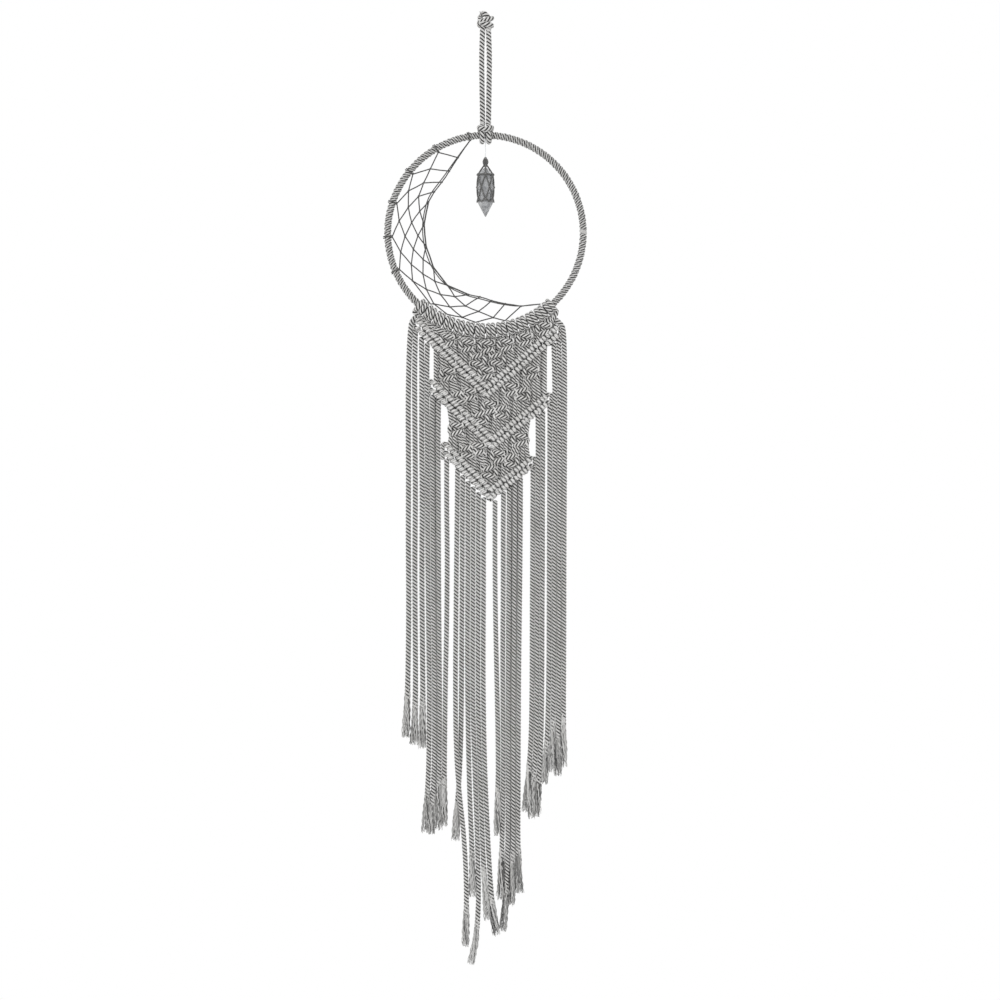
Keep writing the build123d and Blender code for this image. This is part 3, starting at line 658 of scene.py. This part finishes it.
places = {row: [number + row / 2 for number in range(WEB_HITCHES - row)] for row in range(WEB_ROWS + 1)}
for row in range(1, WEB_ROWS + 1):
    for place in places[row]:
        thread(web_point(row, place), web_point(row - 1, place - 0.5), 0.25)
        thread(web_point(row, place), web_point(row - 1, place + 0.5), -0.25)
        centre = web_point(row, place)
        tilt = rng.uniform(0, math.pi)
        s = np.linspace(0, 1, 22)
        turn = s * 2 * math.pi * 1.6 + tilt
        loop = np.stack([0.62 * np.cos(turn), (s - 0.5) * 1.5, 0.62 * np.sin(turn)], axis=1)
        knots.tube(centre + loop, 0.45, segments=7, step=0.4)
for place, following in zip(places[WEB_ROWS], places[WEB_ROWS][1:]):
    thread(web_point(WEB_ROWS, place), web_point(WEB_ROWS, following), 0, 0.85)
# The second, looser thread that doubles the net's inner edge
edge_places = [(row, row / 2) for row in range(WEB_ROWS)] + [(WEB_ROWS, place) for place in places[WEB_ROWS]]
edge_places += [(row, WEB_HITCHES - 1 - row / 2) for row in reversed(range(WEB_ROWS))]
edge_line = []
for row, place in edge_places:
    inner, outer = web_point(row, place), web_point(0, place)
    edge_line.append(inner + (outer - inner) * 0.07 + np.array([0, -0.9, 0]))
net.tube(nurbs(edge_line, 10), THREAD_R, **THREAD)
for number in range(WEB_HITCHES):
    angle = clear_of_larks(WEB_FIRST + WEB_STEP * number)
    s = np.linspace(0, 1, 60)
    turn = s * 2 * math.pi * 1.5
    spot = math.radians(angle) + (s - 0.5) * 2.2 / HOOP_R
    reach = WRAP_R + 0.5
    loop = np.stack([np.cos(spot) * (HOOP_R - reach * np.cos(turn)), reach * np.sin(turn),
                     HOOP_Z + np.sin(spot) * (HOOP_R - reach * np.cos(turn))], axis=1)
    hitches.tube(loop, THREAD_R, **THREAD)
net.build("net_threads", web_cotton, "hoop", "web_cotton", "web_net")
knots.build("net_knots", web_cotton, "hoop", "web_cotton", "web_knots")
hitches.build("net_hitches", web_cotton, "hoop", "web_cotton", "web_hitches")

# ---------------------------------------------------------------- knotted panel
PANEL_CORD = 2.4  # radius
PANEL_LAY = 9.5  # length of one twist of the cord
BEHIND_Y = 2.4  # how far back the plain cords lie behind the knots


def edge_height(chevron, x):
    """Height of a chevron's upper edge."""
    left, low, right = CHEVRONS[chevron]
    outer = left if x < low[0] else right
    return low[1] + (outer[1] - low[1]) * (x - low[0]) / (outer[0] - low[0])


def row_height(chevron, side):
    """Upright height of one sloping row of a chevron's arm."""
    outer, low = CHEVRONS[chevron][1 + side], CHEVRONS[chevron][1]
    return ROW_WIDTH / math.cos(math.atan2(abs(outer[1] - low[1]), abs(outer[0] - low[0])))


def lower_edge(chevron, x):
    """Height of a chevron's lower edge."""
    return edge_height(chevron, x) - 2 * row_height(chevron, -1 if x < CHEVRONS[chevron][1][0] else 1)


# What each of a square knot's four cords does, from the top down: x, y, z from the knot's middle
FRONT = [(-5.6, 0.6, 6.6), (-6.2, 0.9, 5.2), (-3.2, -3.7, 4.5), (2.8, -3.8, 3.1), (6.3, -0.8, 2.3),
         (7.1, 1.0, 0), (6.3, -0.8, -2.3), (2.8, -3.8, -3.1), (-3.2, -3.7, -4.5), (-6.2, 0.9, -5.2),
         (-5.6, 0.6, -6.6)]
BEHIND = [(5.6, 0, 6.6), (6.4, -2.8, 4.6), (6.0, -2.8, 3.4), (3.0, 3.9, 3.2), (-3.0, 4.0, 3.0),
          (-6.6, 0.2, 3.4), (-7.3, -3.4, 2.0), (-7.3, -3.4, -2.0), (-6.6, 0.2, -3.4), (-3.0, 4.0, -3.0),
          (3.0, 3.9, -3.2), (6.0, -2.8, -3.4), (6.4, -2.8, -4.6), (5.6, 0, -6.6)]
FILLER = [(2.1, 0, 6.6), (2.0, 0, 0), (2.1, 0, -6.6)]


def knot_points(role, centre, flip):
    """Control points of one cord through one knot; flip puts the side loop on the other side."""
    side = -1 if flip else 1
    if role in (1, 2):
        sign = -1 if role == 1 else 1
        return [(centre[0] + sign * x, y, centre[1] + z) for x, y, z in FILLER]
    front = (role == 0) != flip
    return [(centre[0] + side * x, y, centre[1] + z) for x, y, z in (FRONT if front else BEHIND)]


def cords_down(xs, tops, bottoms, knots_at):
    """Control points of each cord of a field, from its top, through its knots, to its foot."""
    routes = []
    for index, x in enumerate(xs):
        own = sorted((k for k in knots_at if 0 <= index - k[0] < 4), key=lambda k: -k[2])
        points = [tops[index]]
        for start, cx, cz, flip in own:
            points += knot_points(index - start, (cx, cz), flip)
        y = rng.uniform(-0.5, 0.5)
        if not own:
            points.append((x, y, (tops[index][2] + bottoms[index]) / 2))
        points.append((x, y, bottoms[index]))
        routes.append(points)
    return routes


def knot_rows(xs, rows, height):
    """Knots as (first cord, x, z, flip): rows lists the first cords of each row and its drop."""
    made = []
    for count, (starts, drop) in enumerate(rows):
        for start in starts:
            cx = (xs[start] + xs[start + 3]) / 2
            made.append((start, cx, height(cx) - drop + rng.uniform(-0.4, 0.4), count % 2 == 1))
    return made


# The top field's cords and the lark's heads that they hang from are the same fourteen cords, folded
top_x = [-62.6 + 4.75 * number for number in range(2 * LARK_COUNT)]
FIELD_R = 104.95  # of that field's upper edge, from the hoop's centre


def top_arc(x):
    """Height of the top field's upper edge, which follows the hoop."""
    return HOOP_Z - math.sqrt(FIELD_R**2 - x**2)


TOP_ROWS = [((4, 8, 12, 16, 20, 24), 7.4), ((6, 10, 14, 18), 20.4), ((12,), 33.4)]
top_knots = knot_rows(top_x, TOP_ROWS, top_arc)
top_knots = [k for k in top_knots if k[2] - 4.5 > edge_height("top", k[1])]
legs = []
for number, lark in enumerate(LARKS):
    for side in (-1, 1):
        legs.append(tuple(on_hoop(lark + side * LARK_LEG, FIELD_R + 0.5, 0.8)))
feet = [edge_height("top", x) - 4.0 for x in top_x]
top_routes = cords_down(top_x, legs, feet, top_knots)


def lark_turn(lark):
    """One folded cord round the hoop, from its left leg over the hoop and the bar to its right leg."""
    centre = on_hoop(lark)
    out = np.array([math.cos(math.radians(lark)), 0, math.sin(math.radians(lark))])
    side = np.array([-out[2], 0, out[0]])
    half = [(2.5, 2.8, 6.6), (2.45, 5.4, 3.2), (2.4, 5.8, -0.6), (2.3, 4.2, -4.4), (2.25, 0, -6.2),
            (2.3, -4.3, -4.3), (2.35, -6.05, 0), (2.45, -4.2, 4.4), (2.5, -0.4, 5.6), (2.9, 4.6, 5.8),
            (2.9, 8.0, 4.6), (1.4, 8.9, 3.4)]
    turn = [centre - side * u + np.array([0, y, 0]) + out * v for u, y, v in half]
    back = [centre + side * u + np.array([0, y, 0]) + out * v for u, y, v in reversed(half)]
    return [tuple(p) for p in turn + back]


def backing(made, xs, tops, feet_here):
    """Plain cords behind the knots, which show in the gaps between them."""
    for x, high, foot in zip(xs, tops, feet_here):
        sway = rng.uniform(-0.4, 0.4)
        line = [(x, BEHIND_Y, high), (x + sway, BEHIND_Y, (high + foot) / 2), (x, BEHIND_Y, foot)]
        made.rope(nurbs(line, 8), PANEL_CORD - 0.1, lay=PANEL_LAY, segments=13, step=0.85,
                  phase=rng.uniform(0, 6.28))


panel = Shape()
gaps = [x + 2.37 for x in top_x]
backing(panel, gaps, [top_arc(x) + 1.5 for x in gaps], [lower_edge("top", x) + 1 for x in gaps])
for number, lark in enumerate(LARKS):
    left, right = top_routes[2 * number], top_routes[2 * number + 1]
    points = left[::-1] + lark_turn(lark) + right
    panel.rope(nurbs(points, 6), PANEL_CORD, lay=PANEL_LAY, segments=13, step=0.85,
               phase=rng.uniform(0, 6.28))
panel.build("knotted_cords_top", cord_cotton, "hoop", "cotton_cord", "knot_field_top", "lark_heads")


def field(name, above, below, first, count, pitch, rows, node):
    """Knotted cords between two chevrons."""
    xs = [first + pitch * number for number in range(count)]
    tops = [(x, rng.uniform(-0.4, 0.4), lower_edge(above, x) + 4.0) for x in xs]
    knots_here = knot_rows(xs, rows, lambda x: lower_edge(above, x))
    feet_here = [edge_height(below, x) - 4.0 for x in xs]
    made = Shape()
    gaps_here = [x + pitch / 2 for x in xs[:-1]]
    backing(made, gaps_here, [lower_edge(above, x) + 3 for x in gaps_here],
            [lower_edge(below, x) + 1 for x in gaps_here])
    for points in cords_down(xs, tops, feet_here, knots_here):
        made.rope(nurbs(points, 6), PANEL_CORD, lay=PANEL_LAY, step=0.8, phase=rng.uniform(0, 6.28))
    made.build(name, cord_cotton, "hoop", "cotton_cord", node)


field("knotted_cords_middle", "top", "middle", -48.94, 22, 5.11,
      [((1, 5, 9, 13, 17), 11.0), ((3, 7, 11, 15), 24.2)], "knot_field_middle")
field("knotted_cords_bottom", "middle", "bottom", -35.9, 16, 5.22,
      [((0, 4, 8, 12), 11.0), ((2, 6, 10), 23.6)], "knot_field_bottom")

# Chevrons: two rows to an arm, each of half hitches tied over a leading cord
HITCH_PITCH = 3.9
HITCH_STEPS = 26  # points in each turn
HITCH_WIDE, HITCH_DEEP = 1.3, 3.7  # half width and half depth of a row, to the middle of its cord
HITCH_BACK = -1.3  # the row's middle stands this far in front of the panel's
SHADED_BORDER_FROM, SHADED_BORDER_OVER = 0.74, 0.15  # how far across a row its painted shade border starts, and fades in
PLAIN_END = 20  # points at each end of a row with no painted border shade
# Where a leading cord goes past its row's end, down into the fringe: along the row, back and up
TURN_DOWN = ((1.5, 0, 0), (3.4, 0.4, -2.0), (3.6, 0.8, -5.0), (3.4, 1.0, -9.0))


def hitch_row(arm, start, end, side):
    """One row of half hitches, with its leading cord."""
    along = (end - start) / np.linalg.norm(end - start)
    across = np.array([-along[2], 0, along[0]])
    leading = [start - along * 2, (start + end) / 2, end - along * 4]
    leading += [end + along * on + np.array([0, back, up]) for on, back, up in TURN_DOWN]
    arm.rope(nurbs(leading, 8), 2.0, lay=9, step=0.8, phase=rng.uniform(0, 6))
    turns = (np.linalg.norm(end - start) + 0.5) / HITCH_PITCH
    s = np.arange(int(turns * HITCH_STEPS)) / HITCH_STEPS
    wind = -2 * math.pi * s * side
    pace = s * HITCH_PITCH + 0.32 * np.sin(math.pi * s) - 1.0
    lean = 0.5 * np.cos(wind)
    coil = (start + along * (pace + lean)[:, None] + across * (HITCH_WIDE * np.cos(wind))[:, None]
            + UP_Y * (HITCH_DEEP * np.sin(wind) + HITCH_BACK)[:, None])
    # Painted shade along the row's borders, where it meets the next row; the groove shade is painted stronger on
    # the left arms than on the right
    painted_border_shade = PAINTED_CREASE_SHADE * np.clip((np.abs(np.cos(wind)) - SHADED_BORDER_FROM) / SHADED_BORDER_OVER, 0, 1)
    painted_border_shade[:PLAIN_END] = 0
    painted_border_shade[-PLAIN_END:] = 0
    arm.tube(coil, 1.75, plies=3, lay=9.5, groove=0.26, step=0.6, phase=rng.uniform(0, 6), shade=painted_border_shade,
             groove_shade_strength=0.42 if side < 0 else 0.3, shaded_crease=along)


for chevron, (left, low, right) in CHEVRONS.items():
    for side, word, outer in ((-1, "left", left), (1, "right", right)):
        arm = Shape()
        for number in range(2):
            drop = row_height(chevron, side) * (number + 0.5)
            hitch_row(arm, np.array([low[0], 0, low[1] - drop]), np.array([outer[0], 0, outer[1] - drop]), side)
        arm.build(f"half_hitches_{chevron}_{word}", cord_cotton, "hoop", "cotton_cord",
                  f"chevron_{chevron}_{word}")

# ---------------------------------------------------------------- hanging loop
top = Shape()
for side in (-1, 1):
    leg = [(side * 2.9, 0, 4), (side * 2.9, 0, 0), (side * 3.9, 0, -24), (side * 3.5, 0, -56),
           (side * 2.9, 0, -92), (side * 2.9, 0, -94)]
    top.rope(nurbs(leg, 14), 2.85, lay=11, segments=18, step=0.9, phase=rng.uniform(0, 6))
loop = top.build("loop_cords", fringe_cotton, None, "cotton_cord", "hanging_loop_left", "hanging_loop_right")
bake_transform(loop)

# The knot: one leg winds round the other, and both end in a short tuft of yarns
KNOT_CORD = {"radius": 2.55, "lay": 10.5, "segments": 18, "step": 0.8}
TUFT_YARNS = 36
knot = Shape()
KNOT_LINE = [(-2.9, 0.4, -1.5), (-2.9, 1.6, 3.0), (-2.0, 2.8, 7.0), (2.6, 3.6, 10.4), (6.4, 1.6, 11.8),
             (6.2, -2.8, 11.0), (1.6, -4.6, 9.4), (-3.8, -4.4, 8.2), (-6.6, -1.0, 6.4), (-5.6, 3.4, 4.4),
             (0.4, 5.0, 3.6), (5.8, 3.2, 3.8), (6.4, -1.6, 4.6), (2.4, -4.8, 4.6), (-2.6, -4.6, 5.6),
             (-5.6, -2.6, 9.0), (-5.8, 0.6, 12.6), (-3.4, 1.6, 15.2), (-0.6, 0.6, 16.4)]
KNOT_SECOND = [(2.9, 0, -1.5), (2.9, -0.6, 3), (2.4, -1.0, 7.6), (2.6, -1.6, 12.4), (0.4, -3.2, 15.2),
               (-2.6, -2.6, 16.4)]
knot.rope(nurbs(KNOT_LINE, 10), **KNOT_CORD)
knot.rope(nurbs(KNOT_SECOND, 10), phase=1.3, **KNOT_CORD)
for centre in ((-0.6, 0.6, 15.6), (-2.8, -2.4, 15.4)):
    for _ in range(TUFT_YARNS):
        angle, inner = rng.uniform(0, 6.28), 1.9 * math.sqrt(rng.uniform(0, 1))
        base = np.array(centre) + np.array([inner * math.cos(angle), inner * math.sin(angle), -0.5])
        reach = np.array([inner * math.cos(angle) * 0.5 + rng.uniform(-0.6, 0.6),
                          inner * math.sin(angle) * 0.5, rng.uniform(1.6, 3.4)])
        halfway = base + reach * 0.5 + np.array([0.2, 0, 0.2])
        knot.tube([base, halfway, base + reach], (0.28, 0.12), segments=4, step=1.2,
                  shade=rng.uniform(0.0, 0.45))
knot.build("loop_knot", fringe_cotton, "hanger", "cotton_cord", "hanging_knot")

hitch = Shape()
HITCH_HALF = [(2.9, 0, -91.4), (2.9, -0.8, -93.6), (3.0, -4.6, -97.2), (3.1, -6.7, -101.4),
              (3.1, -6.2, -106.6), (3.2, -1.6, -110.6), (3.5, 3.4, -110.0), (4.2, 6.9, -105.8),
              (5.0, 6.3, -99.6), (5.9, 1.8, -96.8), (6.2, -3.4, -96.4), (4.8, -7.4, -97.4),
              (2.0, -9.3, -98.6)]
hitch_line = HITCH_HALF + [(-x, y, z) for x, y, z in reversed(HITCH_HALF)]
hitch.rope(nurbs(hitch_line, 8), **KNOT_CORD)
hitch.build("loop_hitch", fringe_cotton, "hitch", "cotton_cord", "hanger_hitch")

# ---------------------------------------------------------------- pendant
clear = nylon()
for node in ("pendant_tie", "pendant_line"):
    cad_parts[node].data.materials.clear()
    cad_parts[node].data.materials.append(clear)

bail = Shape()
s = np.linspace(0, 1, 150)
turn = s * 2 * math.pi * 5.4
girth = 0.9 + 1.45 * np.sin(math.pi * s) ** 0.7
bail.tube(np.stack([girth * np.cos(turn), girth * np.sin(turn), -126.6 - 6.9 * s], axis=1), 0.72, segments=10,
          plies=3, lay=3.2, groove=0.34, step=0.35)
eye = np.linspace(-0.2, 1.2, 24) * math.pi
bail.tube(np.stack([0.9 * np.cos(eye), 0 * eye, -126.3 + 0.9 * np.sin(eye)], axis=1), 0.45, segments=8,
          plies=3, lay=2.4, step=0.3)
bail.tube([(0, 0, -126.4), (0, 0, -134.8)], (0.8, 1.6), segments=12)
bail.build("pendant_bail", fine_cotton, "pendant", "fine_cotton", "pendant_knot")

crystal_mesh = bpy.data.meshes.new("crystal_point")
SIDES = 6
HEX = [math.radians(60 * k) for k in range(SIDES)]
LEVELS = ((-135.0, 0.6), (-142.0, 7.4), (-171.0, 7.35), (-184.0, 0.6))  # heights and radii
crystal_verts = [(r * math.cos(a) * MM, r * math.sin(a) * MM, z * MM) for z, r in LEVELS for a in HEX]
lowest = SIDES * (len(LEVELS) - 1)
crystal_faces = [tuple(range(SIDES)), tuple(reversed(range(lowest, lowest + SIDES)))]
for level in range(len(LEVELS) - 1):
    for k in range(SIDES):
        a, b = level * SIDES + k, level * SIDES + (k + 1) % SIDES
        crystal_faces.append((a, a + SIDES, b + SIDES, b))
crystal_mesh.from_pydata(crystal_verts, [], crystal_faces)
shaper = bmesh.new()
shaper.from_mesh(crystal_mesh)
bmesh.ops.recalc_face_normals(shaper, faces=shaper.faces)
bmesh.ops.bevel(shaper, geom=shaper.edges[:], offset=0.45 * MM, segments=2, affect="EDGES", profile=0.5)
shaper.to_mesh(crystal_mesh)
shaper.free()
crystal_mesh.materials.append(quartz())
crystal = bpy.data.objects.new("crystal_point", crystal_mesh)
bpy.context.collection.objects.link(crystal)
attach(crystal, "pendant")
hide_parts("crystal")

cage = Shape()
CAGE_R = 8.2
CAGE_TOP, CAGE_MIDDLE, CAGE_LOW = -142.5, -155.0, -167.5
CAGE_ROW = 12.5  # height of one row of the cage's diamonds
CAGE_WEAVE = 0.25  # how far crossing cords lie in front of and behind each other


def on_cage(angle, z, radius=CAGE_R):
    """Point at an angle in degrees, a height and a radius from the crystal's axis."""
    turn = math.radians(angle)
    return (radius * math.cos(turn), radius * math.sin(turn), z)


def cage_cord(points):
    """Cord of the cage along a smooth line."""
    cage.tube(nurbs(points, 8), 0.7, phase=rng.uniform(0, 6), **CAGE_CORD)


def slanting(angle, top, turn):
    """Line that goes down one row and round by half a diamond, in front of the one that it crosses or behind."""
    return [on_cage(angle + turn * 30 * f, top - CAGE_ROW * f, CAGE_R + CAGE_WEAVE * turn * math.sin(math.pi * f))
            for f in np.linspace(0, 1, 6)]


for k in range(SIDES):
    angle = 30 + 60 * k
    cage_cord([on_cage(angle, -133.2, 1.6), on_cage(angle, -135.2, 3.0), on_cage(angle, -139.4, 6.3),
               on_cage(angle, CAGE_TOP)])
    for turn in (-1, 1):
        cage_cord(slanting(angle, CAGE_TOP, turn))
        cage_cord(slanting(angle + 30, CAGE_MIDDLE, turn))
ring_turn = np.linspace(0, 360, 73)
for base, wave in ((CAGE_TOP, 0.25), (CAGE_LOW - 0.5, 1.6)):
    band = [on_cage(a, base + wave * math.cos(math.radians(6 * a + 180))) for a in ring_turn]
    cage.tube(band, 0.8, **CAGE_CORD)
for base, offset in ((CAGE_TOP, 30), (CAGE_MIDDLE, 0), (CAGE_LOW, 30)):
    for k in range(SIDES):
        cx, cy, cz = on_cage(offset + 60 * k, base, CAGE_R + 0.3)
        s = np.linspace(0, 2 * math.pi * 1.4, 20)
        cage.tube(np.stack([cx + 0.55 * np.cos(s), cy + 0.55 * np.sin(s), cz - 0.6 + s * 0.14], axis=1), 0.55,
                  segments=7, step=0.4)
cage.build("crystal_net", fine_cotton, "pendant", "fine_cotton", "crystal_cage")


# ---------------------------------------------------------------- studio
FLOOR_Z = -1.07
FLOOR_R = 0.58
AIM = Vector((0, 0, -0.45))  # what the lights point at
floor_mesh = bpy.data.meshes.new("floor")
floor_turns = [math.radians(a) for a in range(0, 360, 3)]
rim = [(FLOOR_R * math.cos(turn), FLOOR_R * math.sin(turn), FLOOR_Z) for turn in floor_turns]
floor_mesh.from_pydata(rim, [], [tuple(range(len(rim)))])
floor_mesh.materials.append(plain("pale_floor", (0.9, 0.9, 0.9), 0.02))
floor = bpy.data.objects.new("floor", floor_mesh)
bpy.context.collection.objects.link(floor)
floor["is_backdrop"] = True

world = bpy.data.worlds.new("studio")
world.use_nodes = True
world.node_tree.nodes["Background"].inputs["Color"].default_value = (1, 1, 1, 1)
world.node_tree.nodes["Background"].inputs["Strength"].default_value = WORLD_STRENGTH
bpy.context.scene.world = world

for name, place, size, power in LIGHTS:
    lamp_data = bpy.data.lights.new(name, "AREA")
    lamp_data.shape = "RECTANGLE"
    lamp_data.size, lamp_data.size_y = size
    lamp_data.energy = power
    lamp = bpy.data.objects.new(name, lamp_data)
    lamp.location = place
    lamp.rotation_euler = (AIM - Vector(place)).to_track_quat("-Z", "Y").to_euler()
    bpy.context.collection.objects.link(lamp)

size = {"cad": [list(corner) for corner in CAD_BOX], "visual": [list(corner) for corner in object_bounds()]}
